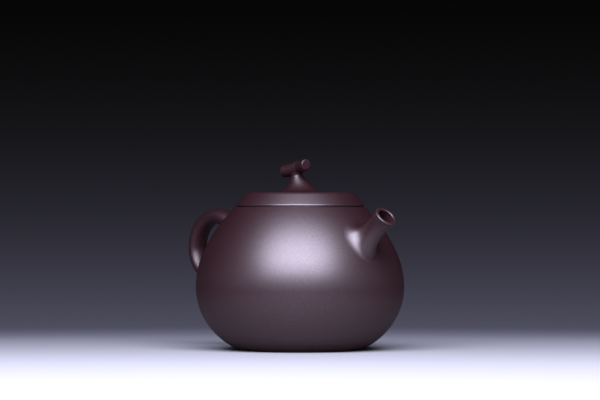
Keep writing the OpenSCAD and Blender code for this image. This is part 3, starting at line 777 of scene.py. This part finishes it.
stem_up = heading(stem_tilt)
stem_top = np.array([-stem_lean, 0, knot[2] - stem_short])
stem_feet = oval([0, 0, lid_top], np.pi / 2, stem_root_r, stem_root_r)
stem_rim = oval(stem_top, stem_tilt, stem_r, stem_r)
stem_aims = stem_rim - stem_neck * stem_up
upright = np.array([0.0, 0.0, 1.0])
steepness = 0.5 + 0.5 * np.cos(np.arctan2(stem_feet[:, 1:2], stem_feet[:, 0:1]) - steep_way)
stem_reach = stem_flare + stem_steep * steepness**steep_power
stem_cling = along(stem_feet, np.broadcast_to(upright, stem_feet.shape), stem_aims, stem_reach)
stem_rows = np.concatenate([
    [stem_feet - stem_sunk * upright],
    curve(stem_feet, stem_cling, stem_aims, stem_rim, 40),
    [stem_rim + 0.5 * (knot - stem_top)],
])
twig_parts = [
    skin(name, rows, [wiped], ends=end_middles(rows))
    for name, rows in (("bough", bough_rows), ("shoot", shoot_rows), ("knob_twig", stem_rows))
]
twig = twig_parts[-1]
with bpy.context.temp_override(active_object=twig, selected_editable_objects=twig_parts):
    bpy.ops.object.join()
turn_in_place = np.array([
    [np.cos(knob_turn), np.sin(knob_turn)],
    [-np.sin(knob_turn), np.cos(knob_turn)],
])
twig_points = np.empty(len(twig.data.vertices) * 3)
twig.data.vertices.foreach_get("co", twig_points)
twig_points = twig_points.reshape(-1, 3)
twig_points[:, :2] = twig_points[:, :2] @ turn_in_place
twig.data.vertices.foreach_set("co", twig_points.ravel())
melt = twig.modifiers.new("melt", "REMESH")
melt.mode, melt.voxel_size = "VOXEL", voxel
rub = twig.modifiers.new("rub", "SMOOTH")
rub.factor, rub.iterations = 0.5, 6
settle(twig, 80)
fitted(twig, "lid", "clay", "knob_stem", "knob_bough", "knob_spur")

# ---- Floor, light and camera ----
# A pale table top with painted shade: its colour darkens towards the back, standing in for the
# light falling off there. It fades out behind the pot, with a dark studio behind it, and one
# large soft light above and a little to the left of the camera.
view_turn, view_far, view_z, aim_z = np.radians(46), 1393 * MM, 62.1 * MM, 71.9 * MM
table_r, table_ahead, table_fade = 670 * MM, 350 * MM, 200 * MM
table_down, table_under = 0.02 * MM, 0.5 * MM
# The darker table colour, and where it takes over behind the pot, are painted shade for the
# light falling off towards the back.
table_painted_shade, table_pale = (0.31, 0.35, 0.40, 1), (0.80, 0.88, 0.88, 1)
painted_shade_full_ahead, painted_shade_gone_ahead = -0.26, 0.2


def level_way(turn):
    """Level direction at a turn from -Y towards +X, the side of the spout."""
    return np.array([np.sin(turn), -np.cos(turn), 0])


def from_place(tree, operation, vector):
    """Output of a Vector Math node between the place on the object and a fixed vector."""
    node = add(tree, "VectorMath", {"operation": operation})
    connect(tree, add(tree, "TexCoord").outputs["Object"], node.inputs[0])
    node.inputs[1].default_value = vector
    return node.outputs["Value"]


view_way = level_way(view_turn)
table_middle = table_ahead * view_way
table_top = [[eye_r, -table_down], [table_r, -table_down]]
table_bottom = [[table_r, -table_under], [eye_r, -table_under]]
table_rows = [
    table_middle + np.array([0, 0, z]) + r * oval([0, 0, 0], np.pi / 2, 1, 1)
    for r, z in table_top + table_bottom
]
table_stuff = bpy.data.materials.new("pale table")
table_stuff.use_nodes = True
tree = table_stuff.node_tree
paint = tree.nodes["Principled BSDF"]
# Painted shade: the table's colour goes from the pale colour in front of the pot to a darker one
# behind it, standing in for the light falling off towards the back.
ahead = from_place(tree, "DOT_PRODUCT", view_way)
near = step_up(tree, ahead, painted_shade_full_ahead, painted_shade_gone_ahead)
connect(tree, blend(tree, near, table_painted_shade, table_pale), paint.inputs["Base Color"])
paint.inputs["Roughness"].default_value = 0.6
paint.inputs["Specular IOR Level"].default_value = 0.2
away = from_place(tree, "DISTANCE", table_middle)
fade = step_up(tree, away, table_r - table_fade, table_r)
edge = add(tree, "MixShader", Fac=fade)
tree.links.new(paint.outputs[0], edge.inputs[1])
tree.links.new(add(tree, "BsdfTransparent").outputs[0], edge.inputs[2])
tree.links.new(edge.outputs[0], tree.nodes["Material Output"].inputs["Surface"])
table = skin("table_top", table_rows, [table_stuff], ends=end_middles(table_rows))

grey_above, blue_below = (0.0225, 0.0220, 0.0245, 1), (0.0229, 0.0222, 0.0328, 1)
grey_from, blue_from = 0.06, -0.01
dusk_fall, dusk_most = -33.5, 4.2
room = (0.02, 0.02, 0.024, 1)
world = bpy.data.worlds.new("dark studio")
bpy.context.scene.world = world
world.use_nodes = True
tree = world.node_tree
ray = add(tree, "LightPath").outputs
seen = reckon(tree, "MAXIMUM", ray["Is Camera Ray"], ray["Is Glossy Ray"])
seen = reckon(tree, "MAXIMUM", seen, ray["Is Transmission Ray"])
lift = add(tree, "SeparateXYZ", Vector=add(tree, "TexCoord").outputs["Generated"]).outputs["Z"]
dusk = reckon(tree, "EXPONENT", reckon(tree, "MULTIPLY", lift, dusk_fall))
dusk = reckon(tree, "MINIMUM", dusk, dusk_most)
backdrop = blend(tree, step_up(tree, lift, grey_from, blue_from), grey_above, blue_below)
scaled = add(tree, "VectorMath", {"operation": "SCALE"}, Scale=dusk)
connect(tree, backdrop, scaled.inputs[0])
colour = blend(tree, seen, room, scaled.outputs[0])
connect(tree, colour, tree.nodes["Background"].inputs["Color"])


def look(thing, place, target):
    """Places a light or the camera and turns its back, which is its own +Z, away from the
    target. Its right is level, and its up is square to both."""
    back = (place - target) / np.linalg.norm(place - target)
    right = np.cross(upright, back)
    right /= np.linalg.norm(right)
    pose = np.eye(4)
    pose[:3] = np.column_stack([right, np.cross(back, right), back, place])
    thing.matrix_world = Matrix(pose.tolist())
    bpy.context.scene.collection.objects.link(thing)


light_rise, light_aside, light_far = np.radians(43.6), np.radians(3), 750 * MM
softbox = bpy.data.lights.new("softbox", "AREA")
softbox.shape = "RECTANGLE"
softbox.size, softbox.size_y = 0.96, 0.56
softbox.energy = 9.6
softbox.color = (1.0, 0.91, 1.17)
light_level = level_way(view_turn - light_aside)
light_way = np.cos(light_rise) * light_level + np.sin(light_rise) * upright
pot_middle = 45 * MM * upright
look(bpy.data.objects.new("softbox", softbox), pot_middle + light_far * light_way, pot_middle)

lens = bpy.data.cameras.new("camera")
lens.lens, lens.sensor_width, lens.clip_start = 174, 36, 0.02
camera = bpy.data.objects.new("camera", lens)
look(camera, view_far * view_way + view_z * upright, aim_z * upright)
bpy.context.scene.camera = camera
bpy.context.scene.view_settings.view_transform = "Standard"
